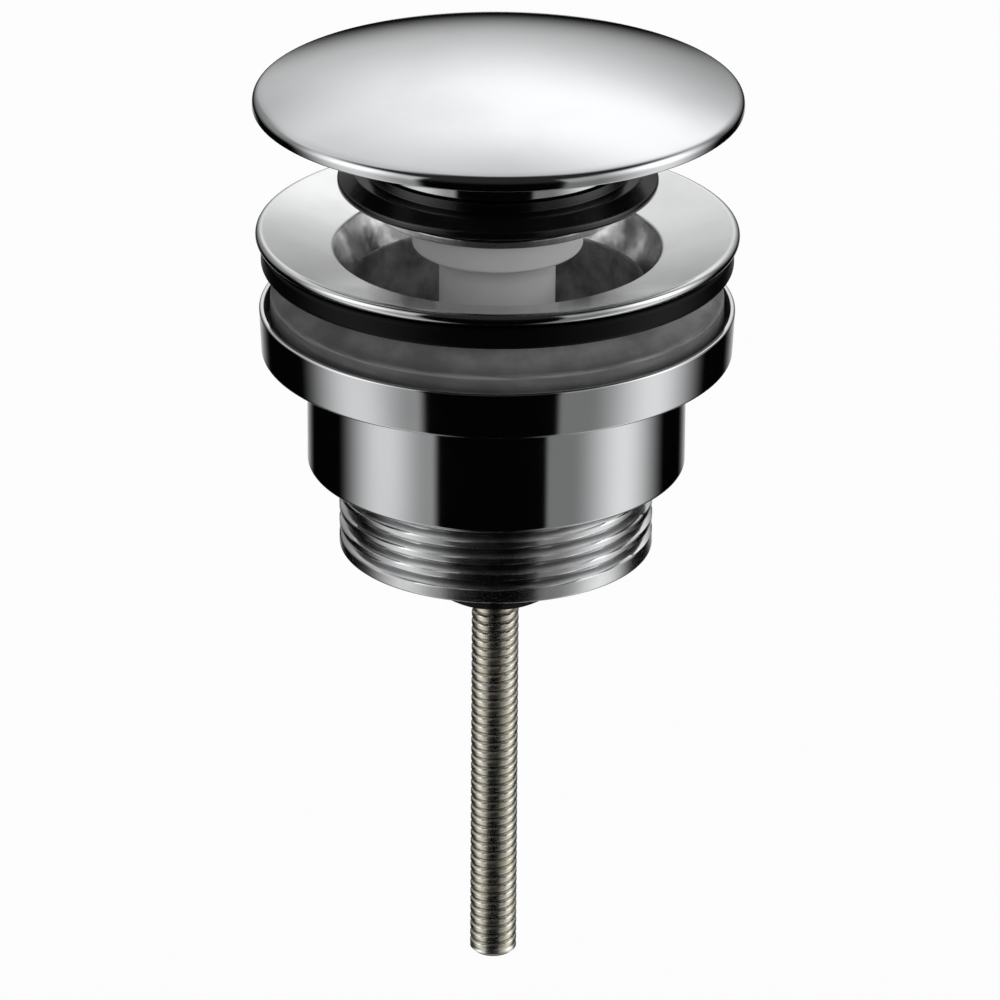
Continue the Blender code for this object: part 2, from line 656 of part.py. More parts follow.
def make_clamp(steel, tail_joint, nut_joint):
    ring("clamp_washer", CLAMP_WASHER_BOTTOM, ROD_HOLE, CLAMP_WASHER_RADIUS,
         CLAMP_WASHER_THICKNESS, SMALL_FACETS, steel, tail_joint)
    hex_nut("clamp_nut", CLAMP_NUT_BOTTOM, CLAMP_NUT_FLATS, CLAMP_NUT_FACE_RADIUS,
            CLAMP_NUT_HEIGHT, steel, nut_joint)


def main():
    clear_scene()
    chrome = finish("chrome", (0.78, 0.79, 0.80), 1.0, 0.08)
    black_rubber = finish("black_rubber", (0.012, 0.012, 0.013), 0.0, 0.45)
    grey_rubber = finish("grey_rubber", (0.16, 0.16, 0.16), 0.0, 0.6)
    white_plastic = finish("white_plastic", (0.78, 0.78, 0.77), 0.0, 0.5)
    brass = finish("brass", (0.72, 0.53, 0.25), 1.0, 0.3)
    nickel_steel = finish("nickel_steel", (0.66, 0.63, 0.55), 1.0, 0.25)
    black_steel = finish("black_steel", (0.02, 0.02, 0.02), 0.6, 0.45)

    plug_slide = add_object("plug_slide_axis", None, SEAL_BOTTOM)
    index_turn = add_object("index_turn_axis", None, PIN_HEIGHT)
    tail_slide = add_object("tail_slide_axis", None, TAIL_BOTTOM)
    nut_turn = add_object("nut_turn_axis", None, CLAMP_NUT_BOTTOM, tail_slide)

    make_flange(chrome)
    make_gasket(black_rubber)
    make_rod(nickel_steel)
    make_cartridge(white_plastic, brass)
    make_spring(nickel_steel)
    make_index_ring(white_plastic, nickel_steel, index_turn)
    make_plunger(white_plastic, plug_slide)
    make_plug(chrome, black_rubber, white_plastic, plug_slide)
    make_cap(chrome, black_rubber, brass, plug_slide)
    make_washers(grey_rubber, white_plastic, tail_slide)
    make_tail(chrome, tail_slide)
    make_clamp(black_steel, tail_slide, nut_turn)


main()
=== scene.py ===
"""The looks of the pop-up basin waste: fine turned surfaces, cut threads, finishes and a studio.

Units are metres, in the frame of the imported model: Z is the axis of the waste, and z = 0 is the
plane under the flange gasket. The camera looks along +Y.
"""

import math

import bmesh
import bpy
from mathutils import Matrix, Vector


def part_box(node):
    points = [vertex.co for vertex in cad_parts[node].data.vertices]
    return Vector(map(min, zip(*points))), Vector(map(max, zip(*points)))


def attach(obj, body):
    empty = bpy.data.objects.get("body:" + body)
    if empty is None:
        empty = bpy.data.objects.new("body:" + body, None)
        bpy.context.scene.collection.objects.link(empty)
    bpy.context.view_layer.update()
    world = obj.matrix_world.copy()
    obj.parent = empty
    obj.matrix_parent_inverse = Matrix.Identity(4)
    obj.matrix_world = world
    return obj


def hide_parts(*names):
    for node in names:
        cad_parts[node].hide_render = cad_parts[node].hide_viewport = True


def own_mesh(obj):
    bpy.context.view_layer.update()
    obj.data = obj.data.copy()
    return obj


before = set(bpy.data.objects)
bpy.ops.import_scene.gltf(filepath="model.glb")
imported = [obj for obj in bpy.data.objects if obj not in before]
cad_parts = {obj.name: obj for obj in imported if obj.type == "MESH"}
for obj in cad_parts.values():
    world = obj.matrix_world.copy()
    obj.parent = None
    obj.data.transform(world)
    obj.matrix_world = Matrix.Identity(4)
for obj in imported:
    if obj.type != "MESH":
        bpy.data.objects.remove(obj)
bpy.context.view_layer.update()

# Facets, and the smoothness of fillets
FACETS = 160
ROD_FACETS = 48
ARC_STEP = math.radians(11)
SHARP_ANGLE = math.radians(32)
HOLD = 0.00012
THREAD_ROOT = 0.92
MERGE = 0.0000005
SMALL_ROUND = 0.00015
FINISH_MARGIN = 0.0001
CUT_MARGIN = 0.001

# Cap: rim, dome and the face under it
CAP_EDGE = 0.0019
CAP_EDGE_DRAFT = 0.0009
CAP_EDGE_FALL = 0.0004
CAP_ROUND = 0.00125
CAP_FOOT_ROUND = 0.00025
CAP_RIM_FACE = 0.0028
CAP_BOSS_RADIUS = 0.0185
CAP_RELIEF = 0.001
CAP_HOLE_DEPTH = 0.0039
DOME_STEPS = 48
STUD_HOLE = 0.0027

# Plug: neck, seal, the ring under the seal and the collar
PLUG_CAVITY = 0.01156
PLUG_SPIGOT_RADIUS = 0.01286
PLUG_SEAT_RADIUS = 0.01456
PLUG_SEAT_HEIGHT = 0.0013
PLUG_NECK_HEIGHT = 0.0052
PLUG_CEILING = 0.0029
SEAL_EDGE_RISE = 0.0017
SEAL_SIDE = 0.0009
SEAL_EDGE_ROUND = 0.00045
SEAL_SHELF_ROUND = 0.0005
SEAL_LIP = 0.0002
SEAL_SHELF_TILT = 0.0002
SEAL_SHELF_RADIUS = 0.0192
SEAL_SHELF_DROP = 0.0014
SEAL_FOOT_RADIUS = 0.01655
SEAL_BORE = 0.01486
RETAINER_BORE = 0.01316
RETAINER_FLUTES = 60
RETAINER_FLUTE_DEPTH = 0.000015
COLLAR_BORE = 0.00798
COLLAR_PLATE = 0.0015
COLLAR_ROUND = 0.0005
PAD_BORE = 0.0027

# Return spring inside the plunger
SPRING_WIRE = 0.0006
SPRING_TURNS = 10
SPRING_STEPS = 28
SPRING_SIDES = 10
SPRING_END_GAP = 0.00002

# Flange: dish, throat, neck and cross
FLANGE_PLATE = 0.0016
FLANGE_ROUND = 0.00075
FLANGE_RIM_HEIGHT = 0.0275
DISH_SLOPE = math.tan(math.radians(15.35))
DISH_SKIN = 0.0003
THROAT_RADIUS = 0.0217
THROAT_ROUND = 0.00055
THROAT_DEPTH = 0.0054
THROAT_FOOT_ROUND = 0.0009
BORE_RADIUS = 0.0195
NECK_RADIUS = 0.0224
CROSS_HEIGHT = 0.005
CROSS_HUB_RADIUS = 0.0085
CROSS_BAR_WIDTH = 0.0034
CROSS_BAR_RELIEF = 0.0004
CROSS_ANGLE = math.radians(45)
CARTRIDGE_HOLE = 0.0052
GASKET_BORE = 0.0227
GASKET_ROUND = 0.0006
GASKET_GAP = 0.0003

# Cartridge barrel
BARREL_FOOT_BORE = 0.0052
BARREL_BORE = 0.0066
BARREL_SHELF = 0.01706

# Washers under the basin
WASHER_BORE = 0.0233
WASHER_SHOULDER = 0.0051
WASHER_LAND = 0.0014
# Height over which painted sheen lightens the washer's upper cone
WASHER_SHEEN_HEIGHT = 0.0024
WASHER_ROUND = 0.0004

# Tail: cup, barrel, thread and cross
CUP_BORE = 0.0308
CUP_FLOOR = 0.0017
CUP_HEIGHT = 0.0063
CUP_TAPER = 0.0003
CUP_RIM_ROUND = 0.0003
CUP_FOOT_ROUND = 0.00035
TAIL_BARREL_RADIUS = 0.02516
TAIL_SHOULDER = 0.0024
TAIL_BORE = 0.018305
TAIL_THREAD_RADIUS = 0.020955
TAIL_LENGTH = 0.012
TAIL_PITCH = 0.002309
TAIL_THREAD_DEPTH = 0.0012
TAIL_CREST = 0.3
TAIL_BAND = 0.0013
TAIL_RELIEF = 0.0009
TAIL_ROWS_PER_PITCH = 14
TAIL_RUNOUT = TAIL_PITCH * 0.5
TAIL_HUB_RADIUS = 0.0065
TAIL_HUB_HEIGHT = 0.0065
TAIL_HUB_RECESS = 0.0005

# Rod, nut and washer
ROD_PITCH = 0.00127
ROD_THREAD_DEPTH = 0.00028
ROD_CREST = 0.4
ROD_ROWS_PER_PITCH = 12
ROD_RUNOUT = ROD_PITCH * 0.6
ROD_END_CHAMFER = 0.0006
ROD_HOLE = 0.003475
NUT_FACETS = 144
NUT_FLATS = 0.0142
NUT_FACE_RADIUS = 0.0068
NUT_CHAMFER_ANGLE = math.radians(30)
NUT_CORNER_ROUND = 0.0004
NUT_EASE = 0.0001
LOCK_NUT_FLATS = 0.0111
LOCK_NUT_FACE_RADIUS = 0.0053

# Camera: its height angle and its distance from the point of the axis in the image's middle row
VIEW_ELEVATION = math.radians(23.47)
VIEW_DISTANCE = 0.9
VIEW_CENTRE_HEIGHT = -0.0343
VIEW_ROLL = math.radians(0.38)
VIEW_SIDE_STEP = 0.00055
SENSOR_WIDTH = 36.0
FOCAL_LENGTH = 241.96

# Studio
FLOOR_HEIGHT = -0.45
FLOOR_SIZE = 8.0
FLOOR_COLOUR = (0.975, 0.98, 0.975)

# Brightness of what the chrome mirrors
RIGHT_WALL = 0.18
RIGHT_BOX = 0.6
LEFT_WALL = 0.28
LEFT_BOX = 0.4
SIDE_TOP_GAIN = 1.9
BACK_BOX = 0.55
BACK_SHELF = 0.55
GROUND = 0.75
FRONT_TOP = 0.02
DARKEST = 0.001

# How far the light on matt surfaces leans to the right and to the back
SOFT_RIGHT = 0.5
SOFT_BACK = 0.15


def low(node):
    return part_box(node)[0].z


def high(node):
    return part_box(node)[1].z


def outer(node):
    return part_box(node)[1].x


def outline(corners):
    """The outline through these corners. A third value at a corner is its fillet radius."""
    points = []
    for index, (radius, height, *fillet) in enumerate(corners):
        corner = Vector((radius, height))
        if not fillet:
            points.append(corner)
            continue
        before = Vector(corners[index - 1][:2]) - corner
        after = Vector(corners[(index + 1) % len(corners)][:2]) - corner
        back, ahead = before.normalized(), after.normalized()
        half = back.angle(ahead) / 2
        reach = fillet[0] / math.tan(half)
        centre = corner + (back + ahead).normalized() * fillet[0] / math.sin(half)
        start = corner + back * reach - centre
        sweep = start.angle_signed(corner + ahead * reach - centre)
        steps = max(2, math.ceil(abs(sweep) / ARC_STEP))
        if before.length > 2 * reach + 3 * HOLD:
            points.append(corner + back * (reach + HOLD))
        for step in range(steps + 1):
            points.append(centre + Matrix.Rotation(-sweep * step / steps, 2) @ start)
        if after.length > 2 * reach + 3 * HOLD:
            points.append(corner + ahead * (reach + HOLD))
    return points


def wall(radius, bottom, top, rows):
    """Evenly spaced points up a straight wall, for a surface that is reshaped afterwards."""
    return [(radius, bottom + (top - bottom) * row / rows) for row in range(rows + 1)]


def shade(mesh):
    mesh.shade_smooth()
    mesh.set_sharp_from_angle(angle=SHARP_ANGLE)


def add_piece(name, built):
    """Makes an object of a closed mesh, with its faces turned out."""
    bmesh.ops.recalc_face_normals(built, faces=built.faces)
    if built.calc_volume(signed=True) < 0:
        bmesh.ops.reverse_faces(built, faces=built.faces)
    mesh = bpy.data.meshes.new(name)
    built.to_mesh(mesh)
    built.free()
    shade(mesh)
    piece = bpy.data.objects.new(name, mesh)
    bpy.context.scene.collection.objects.link(piece)
    return piece


def lathe(name, corners, facets=FACETS):
    """A solid of revolution. An outline that starts and ends on the axis is left open there."""
    points = outline(corners)
    built = bmesh.new()
    made = [built.verts.new((point.x, 0, point.y)) for point in points]
    edges = [built.edges.new(pair) for pair in zip(made, made[1:])]
    if points[0].x > 0:
        edges.append(built.edges.new((made[-1], made[0])))
    bmesh.ops.spin(built, geom=made + edges, cent=(0, 0, 0), axis=(0, 0, 1),
                   angle=math.tau, steps=facets, use_merge=True)
    bmesh.ops.remove_doubles(built, verts=built.verts, dist=MERGE)
    return add_piece(name, built)


def block(name, bottom, size, turn):
    built = bmesh.new()
    bmesh.ops.create_cube(built, size=1)
    bmesh.ops.scale(built, vec=size, verts=built.verts)
    bmesh.ops.translate(built, vec=(0, 0, bottom + size[2] / 2), verts=built.verts)
    bmesh.ops.rotate(built, matrix=Matrix.Rotation(turn, 3, "Z"), verts=built.verts)
    bmesh.ops.bevel(built, geom=built.edges[:], offset=SMALL_ROUND, segments=3, profile=0.5,
                    affect="EDGES")
    return add_piece(name, built)


def combine(piece, helpers):
    """Applies a union or a difference with each helper, and removes the helpers."""
    for helper, operation in helpers:
        change = piece.modifiers.new(helper.name, "BOOLEAN")
        change.operation = operation
        change.solver = "MANIFOLD"
        change.object = helper
    depsgraph = bpy.context.evaluated_depsgraph_get()
    mesh = bpy.data.meshes.new_from_object(piece.evaluated_get(depsgraph))
    piece.modifiers.clear()
    piece.data = mesh
    shade(mesh)
    for helper, operation in helpers:
        bpy.data.objects.remove(helper)


def cross(piece, bottom, hub_height, hub_radius, reach, hole):
    """Joins a hub and two crossed bars to a turned body, and bores the hub."""
    hub = lathe("hub", [
        (0, bottom),
        (hub_radius, bottom, SMALL_ROUND * 2),
        (hub_radius, bottom + hub_height, SMALL_ROUND * 2),
        (0, bottom + hub_height),
    ], ROD_FACETS * 2)
    bar_height = hub_height - 2 * CROSS_BAR_RELIEF
    bars = [block("bar", bottom + CROSS_BAR_RELIEF, (2 * reach, CROSS_BAR_WIDTH, bar_height),
                  side * CROSS_ANGLE) for side in (1, -1)]
    drill = lathe("drill", [
        (0, bottom - CUT_MARGIN),
        (hole, bottom - CUT_MARGIN),
        (hole, bottom + hub_height + CUT_MARGIN),
        (0, bottom + hub_height + CUT_MARGIN),
    ], ROD_FACETS * 2)
    combine(piece, [(hub, "UNION"), (bars[0], "UNION"), (bars[1], "UNION"),
                    (drill, "DIFFERENCE")])


def smooth_step(value, start, end):
    share = min(1.0, max(0.0, (value - start) / (end - start)))
    return share * share * (3 - 2 * share)


def cut_thread(mesh, radius, pitch, depth, crest, bottom, top, runout):
    """Cuts a right-handed thread with rounded crests into the rows of a straight wall."""
    for vertex in mesh.vertices:
        x, y, z = vertex.co
        here = math.hypot(x, y)
        if abs(here - radius) > MERGE * 10 or not bottom <= z <= top:
            continue
        turn = (z / pitch - math.atan2(y, x) / math.tau) % 1
        from_crest = abs(turn - 0.5) * 2
        cut = smooth_step(from_crest, crest, THREAD_ROOT)
        fade = min(1.0, (z - bottom) / runout, (top - z) / runout)
        share = (radius - depth * cut * max(0.0, fade)) / radius
        vertex.co = (x * share, y * share, z)


def eased(corners):
    """Cuts every corner of a closed outline back a little."""
    points = [Vector(corner) for corner in corners]
    cut = []
    for before, point, after in zip(points[-1:] + points, points, points[1:] + points[:1]):
        cut.append(point + (before - point).normalized() * NUT_EASE)
        cut.append(point + (after - point).normalized() * NUT_EASE)
    return cut


def hex_nut(name, node, flats, face_radius, hole):
    """A chamfered hexagon nut with eased corners."""
    bottom, top = low(node), high(node)
    thickness = top - bottom
    side = math.tau / 6
    corner_radius = flats / 2 / math.cos(side / 2) - NUT_CORNER_ROUND
    built = bmesh.new()
    sections = []
    for column in range(NUT_FACETS):
        angle = math.tau * column / NUT_FACETS
        reach = flats / 2 / math.cos((angle + side / 2) % side - side / 2)
        reach = min(reach, corner_radius)
        chamfer = (reach - face_radius) * math.tan(NUT_CHAMFER_ANGLE)
        points = eased([
            (hole, 0), (face_radius, 0), (reach, chamfer),
            (reach, thickness - chamfer), (face_radius, thickness), (hole, thickness),
        ])
        turn = Matrix.Rotation(angle, 3, "Z")
        sections.append([built.verts.new(turn @ Vector((point.x, 0, bottom + point.y)))
                         for point in points])
    for here, after in zip(sections, sections[1:] + sections[:1]):
        for corner in range(len(here)):
            built.faces.new((here[corner - 1], here[corner], after[corner], after[corner - 1]))
    return add_piece(name, built)


def add_node(tree, kind, **settings):
    node = tree.nodes.new(kind)
    for key, value in settings.items():
        setattr(node, key, value)
    return node


def feed(tree, socket, value):
    if isinstance(value, bpy.types.NodeSocket):
        tree.links.new(value, socket)
    else:
        socket.default_value = value


def calc(tree, operation, *values):
    node = add_node(tree, "ShaderNodeMath", operation=operation)
    for socket, value in zip(node.inputs, values):
        feed(tree, socket, value)
    return node.outputs[0]


def ramp(tree, value, start, end, first=0.0, last=1.0):
    """Goes smoothly from first to last as the value goes from start to end."""
    node = add_node(tree, "ShaderNodeMapRange", interpolation_type="SMOOTHSTEP")
    for name, number in (("Value", value), ("From Min", start), ("From Max", end),
                         ("To Min", first), ("To Max", last)):
        feed(tree, node.inputs[name], number)
    return node.outputs["Result"]


def product(tree, *values):
    total = values[0]
    for value in values[1:]:
        total = calc(tree, "MULTIPLY", total, value)
    return total


def sum_of(tree, *values):
    total = values[0]
    for value in values[1:]:
        total = calc(tree, "ADD", total, value)
    return total


def blend(tree, factor, first, second):
    """Mixes two colours, each a socket or three numbers."""
    node = add_node(tree, "ShaderNodeMix", data_type="RGBA")
    colours = [socket for socket in node.inputs if socket.type == "RGBA"]
    feed(tree, node.inputs[0], factor)
    for socket, value in zip(colours, (first, second)):
        feed(tree, socket, value if isinstance(value, bpy.types.NodeSocket) else (*value, 1.0))
    return next(socket for socket in node.outputs if socket.type == "RGBA")


def material(name, colour, metallic, roughness, specular=0.5):
    made = bpy.data.materials.new(name)
    made.use_nodes = True
    shader = made.node_tree.nodes["Principled BSDF"]
    shader.inputs["Base Color"].default_value = (*colour, 1.0)
    shader.inputs["Metallic"].default_value = metallic
    shader.inputs["Roughness"].default_value = roughness
    shader.inputs["Specular IOR Level"].default_value = specular
    return made, made.node_tree, shader


def object_place(tree):
    """The point on the piece, its distance from the axis and its height."""
    place = add_node(tree, "ShaderNodeTexCoord").outputs["Object"]
    split = add_node(tree, "ShaderNodeSeparateXYZ")
    tree.links.new(place, split.inputs[0])
    x, y, z = split.outputs
    radius = calc(tree, "SQRT", sum_of(tree, product(tree, x, x), product(tree, y, y)))
    return place, x, y, z, radius


def speckle(tree, place, scale, detail=3.0, roughness=0.5):
    node = add_node(tree, "ShaderNodeTexNoise")
    feed(tree, node.inputs["Vector"], place)
    node.inputs["Scale"].default_value = scale
    node.inputs["Detail"].default_value = detail
    node.inputs["Roughness"].default_value = roughness
    return node.outputs["Fac"]


def turned_lines(tree, x, y, z, radius, density, drift):
    """Noise that runs in rings round the axis, with a slow drift along each ring."""
    angle = calc(tree, "ARCTAN2", y, x)
    vector = add_node(tree, "ShaderNodeCombineXYZ")
    feed(tree, vector.inputs[0], product(tree, radius, density))
    feed(tree, vector.inputs[1], product(tree, calc(tree, "SINE", angle), drift))
    feed(tree, vector.inputs[2], sum_of(tree, product(tree, z, density),
                                        product(tree, calc(tree, "COSINE", angle), drift)))
    return speckle(tree, vector.outputs[0], 1.0, 4.0, 0.6)


def bump(tree, shader, height, strength, distance):
    node = add_node(tree, "ShaderNodeBump")
    node.inputs["Strength"].default_value = strength
    node.inputs["Distance"].default_value = distance
    tree.links.new(height, node.inputs["Height"])
    tree.links.new(node.outputs[0], shader.inputs["Normal"])


def polished_chrome():
    """Bright chrome plate with faint turning lines and a few wiped smears."""
    made, tree, shader = material("polished_chrome", (0.86, 0.87, 0.88), 1.0, 0.07)
    place, x, y, z, radius = object_place(tree)
    lines = turned_lines(tree, x, y, z, radius, 9000.0, 2.0)
    smear = ramp(tree, speckle(tree, place, 70.0, 4.0), 0.45, 0.75)
    rough = sum_of(tree, 0.055, product(tree, lines, 0.03), product(tree, smear, 0.035))
    tree.links.new(rough, shader.inputs["Roughness"])
    tint = blend(tree, smear, (0.87, 0.88, 0.89), (0.82, 0.83, 0.84))
    tree.links.new(tint, shader.inputs["Base Color"])
    bump(tree, shader, lines, 0.06, 0.00001)
    return made


def dish_chrome():
    """Chrome plate buffed in rings, softer than the polished walls."""
    made, tree, shader = material("dish_chrome", (0.85, 0.855, 0.86), 1.0, 0.2)
    place, x, y, z, radius = object_place(tree)
    lines = turned_lines(tree, x, y, z, radius, 5000.0, 2.5)
    smear = ramp(tree, speckle(tree, place, 90.0, 4.0), 0.4, 0.75)
    rough = sum_of(tree, 0.15, product(tree, lines, 0.05), product(tree, smear, 0.07))
    tree.links.new(rough, shader.inputs["Roughness"])
    tint = blend(tree, smear, (0.87, 0.875, 0.88), (0.8, 0.805, 0.81))
    tree.links.new(tint, shader.inputs["Base Color"])
    bump(tree, shader, lines, 0.05, 0.00001)
    return made


def satin_chrome():
    """Chrome over a cut thread: softer, with a fine grain, and painted shade darkening the thread's
    grooves.
    """
    made, tree, shader = material("satin_chrome", (0.82, 0.825, 0.83), 1.0, 0.18)
    place, x, y, z, radius = object_place(tree)
    grain = speckle(tree, place, 2600.0, 3.0)
    smear = ramp(tree, speckle(tree, place, 160.0, 4.0), 0.35, 0.7)
    rough = sum_of(tree, 0.13, product(tree, grain, 0.06), product(tree, smear, 0.1))
    tree.links.new(rough, shader.inputs["Roughness"])
    tint = blend(tree, smear, (0.96, 0.965, 0.97), (0.84, 0.845, 0.855))
    # Painted shade: the thread's grooves are tinted dark as if shaded
    groove_shade = ramp(tree, radius, TAIL_THREAD_RADIUS - TAIL_THREAD_DEPTH * 0.2,
                  TAIL_THREAD_RADIUS - TAIL_THREAD_DEPTH * 0.9)
    tint = blend(tree, product(tree, groove_shade, 0.7), tint, (0.26, 0.26, 0.265))
    tree.links.new(tint, shader.inputs["Base Color"])
    bump(tree, shader, grain, 0.12, 0.00004)
    return made


def cast_chrome():
    """Plated casting that wasn't polished: blotchy and dull, as inside the bores. Its dark tint is
    partly painted shade for the shaded bores.
    """
    made, tree, shader = material("cast_chrome", (0.4, 0.41, 0.42), 0.6, 0.45)
    place, x, y, z, radius = object_place(tree)
    blotch = ramp(tree, speckle(tree, place, 190.0, 5.0, 0.6), 0.3, 0.75)
    grain = speckle(tree, place, 1500.0, 3.0)
    # Partly painted shade: the tint is kept dark because the bores lie in shade; the blotches are
    # the casting's own
    tint = blend(tree, blotch, (0.2, 0.2, 0.205), (0.62, 0.62, 0.63))
    tree.links.new(tint, shader.inputs["Base Color"])
    rough = sum_of(tree, 0.34, product(tree, grain, 0.16))
    tree.links.new(rough, shader.inputs["Roughness"])
    bump(tree, shader, sum_of(tree, grain, product(tree, blotch, 2.0)), 0.3, 0.00008)
    return made


def throat_chrome():
    """Plate over the rough throat: blotchy, with a dark tint that is painted shade and bright
    patches that are painted reflections.
    """
    made, tree, shader = material("throat_chrome", (0.4, 0.4, 0.4), 1.0, 0.3)
    place, x, y, z, radius = object_place(tree)
    # Painted reflections: random bright patches over a dark tint of painted shade
    reflection_patch = ramp(tree, speckle(tree, place, 110.0, 3.0, 0.6), 0.42, 0.6)
    blotch = ramp(tree, speckle(tree, place, 320.0, 5.0, 0.6), 0.3, 0.75)
    tint = blend(tree, reflection_patch, (0.24, 0.24, 0.243), (0.92, 0.92, 0.925))
    tint = blend(tree, product(tree, blotch, 0.3), tint, (0.3, 0.3, 0.3))
    tree.links.new(tint, shader.inputs["Base Color"])
    rough = sum_of(tree, 0.15, product(tree, blotch, 0.14))
    tree.links.new(rough, shader.inputs["Roughness"])
    bump(tree, shader, sum_of(tree, blotch, reflection_patch), 0.2, 0.00008)
    return made


def black_rubber(name, specular, smoothest):
    """Moulded rubber: nearly black, with a soft sheen and fine dust."""
    made, tree, shader = material(name, (0.002, 0.002, 0.002), 0.0, smoothest, specular)
    place, x, y, z, radius = object_place(tree)
    grain = speckle(tree, place, 2200.0, 3.0)
    dust = ramp(tree, speckle(tree, place, 420.0, 5.0, 0.7), 0.62, 0.8)
    tint = blend(tree, dust, (0.0012, 0.0012, 0.0012), (0.006, 0.006, 0.006))
    tree.links.new(tint, shader.inputs["Base Color"])
    rough = sum_of(tree, smoothest, product(tree, grain, 0.1), product(tree, dust, 0.15))
    tree.links.new(rough, shader.inputs["Roughness"])
    bump(tree, shader, grain, 0.16, 0.00006)
    return made


def grey_rubber():
    """Soft grey rubber with turning streaks and dark smudges, a painted sheen that lightens its
    upper cone, and a painted highlight along the edge of its step.
    """
    made, tree, shader = material("grey_rubber", (0.16, 0.16, 0.16), 0.0, 0.36, 0.5)
    place, x, y, z, radius = object_place(tree)
    streak = turned_lines(tree, x, y, z, radius, 1500.0, 3.5)
    smudge = ramp(tree, speckle(tree, place, 130.0, 5.0, 0.62), 0.36, 0.68)
    tone = blend(tree, ramp(tree, streak, 0.3, 0.72), (0.085, 0.085, 0.086), (0.12, 0.12, 0.12))
    shoulder = low("sealing_washer") + WASHER_SHOULDER
    # Painted sheen: the cone above the shoulder is lightened as if it caught the light
    cone_sheen = ramp(tree, z, shoulder, shoulder + WASHER_SHEEN_HEIGHT)
    tone = blend(tree, cone_sheen, tone, (0.36, 0.36, 0.36))
    tone = blend(tree, product(tree, smudge, 0.45), tone, (0.04, 0.04, 0.04))
    # Painted highlight: a thin lighter line along the step's edge, strongest on the streaks
    near = calc(tree, "ABSOLUTE", calc(tree, "SUBTRACT", z, shoulder))
    step_highlight = product(tree, ramp(tree, near, 0.00035, 0.0001), ramp(tree, streak, 0.35, 0.6))
    tone = blend(tree, product(tree, step_highlight, 0.35), tone, (0.3, 0.3, 0.3))
    tree.links.new(tone, shader.inputs["Base Color"])
    rough = sum_of(tree, 0.28, product(tree, smudge, 0.2))
    tree.links.new(rough, shader.inputs["Roughness"])
    bump(tree, shader, streak, 0.1, 0.00005)
    return made


def white_plastic():
    """Injection-moulded plastic, matt and slightly cloudy."""
    made, tree, shader = material("white_plastic", (0.79, 0.79, 0.785), 0.0, 0.42, 0.4)
    place, x, y, z, radius = object_place(tree)
    cloud = ramp(tree, speckle(tree, place, 120.0, 3.0), 0.3, 0.7)
    grain = speckle(tree, place, 3200.0, 2.0)
    tint = blend(tree, cloud, (0.86, 0.86, 0.855), (0.81, 0.81, 0.805))
    tree.links.new(tint, shader.inputs["Base Color"])
    rough = sum_of(tree, 0.38, product(tree, grain, 0.1))
    tree.links.new(rough, shader.inputs["Roughness"])
    bump(tree, shader, grain, 0.05, 0.00003)
    return made


def nickel_steel():
    """Warm bright nickel over rolled threads, with painted shade darkening the thread roots."""
    made, tree, shader = material("nickel_steel", (0.8, 0.745, 0.64), 1.0, 0.2)
    place, x, y, z, radius = object_place(tree)
    grain = speckle(tree, place, 3000.0, 3.0)
    stain = ramp(tree, speckle(tree, place, 420.0, 4.0), 0.4, 0.75)
    tint = blend(tree, stain, (1.0, 0.975, 0.86), (0.93, 0.88, 0.71))
    crest = outer("through_rod")
    # Painted shade: the thread roots are tinted dark as if shaded
    groove_shade = ramp(tree, radius, crest - ROD_THREAD_DEPTH * 0.6, crest - ROD_THREAD_DEPTH)
    tint = blend(tree, product(tree, groove_shade, 0.75), tint, (0.17, 0.14, 0.08))
    tree.links.new(tint, shader.inputs["Base Color"])
    rough = sum_of(tree, 0.22, product(tree, grain, 0.08), product(tree, stain, 0.1))
    tree.links.new(rough, shader.inputs["Roughness"])
    bump(tree, shader, grain, 0.08, 0.00003)
    return made


def turned_brass():
    made, tree, shader = material("turned_brass", (0.72, 0.53, 0.25), 1.0, 0.28)
    place, x, y, z, radius = object_place(tree)
    lines = turned_lines(tree, x, y, z, radius, 7000.0, 2.0)
    tint = blend(tree, lines, (0.76, 0.57, 0.28), (0.62, 0.44, 0.2))
    tree.links.new(tint, shader.inputs["Base Color"])
    tree.links.new(sum_of(tree, 0.2, product(tree, lines, 0.14)), shader.inputs["Roughness"])
    bump(tree, shader, lines, 0.15, 0.00003)
    return made


def black_steel():
    """Black oxide on steel, a little oily."""
    made, tree, shader = material("black_steel", (0.004, 0.004, 0.004), 0.0, 0.36, 0.1)
    place, x, y, z, radius = object_place(tree)
    grain = speckle(tree, place, 1800.0, 4.0)
    rub = ramp(tree, speckle(tree, place, 260.0, 4.0), 0.5, 0.8)
    tint = blend(tree, rub, (0.002, 0.002, 0.002), (0.006, 0.006, 0.006))
    tree.links.new(tint, shader.inputs["Base Color"])
    tree.links.new(sum_of(tree, 0.28, product(tree, grain, 0.18)), shader.inputs["Roughness"])
    bump(tree, shader, grain, 0.15, 0.00004)
    return made


def mount(piece, body, node, slot, *finishes):
    """Dresses a fine piece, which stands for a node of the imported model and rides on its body."""
    piece.data.materials.clear()
    for finish in finishes:
        piece.data.materials.append(finish)
    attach(piece, body)
    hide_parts(node)
    return piece


def dress(node, finish):
    """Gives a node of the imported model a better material."""
    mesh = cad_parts[node].data
    mesh.materials.clear()
    mesh.materials.append(finish)


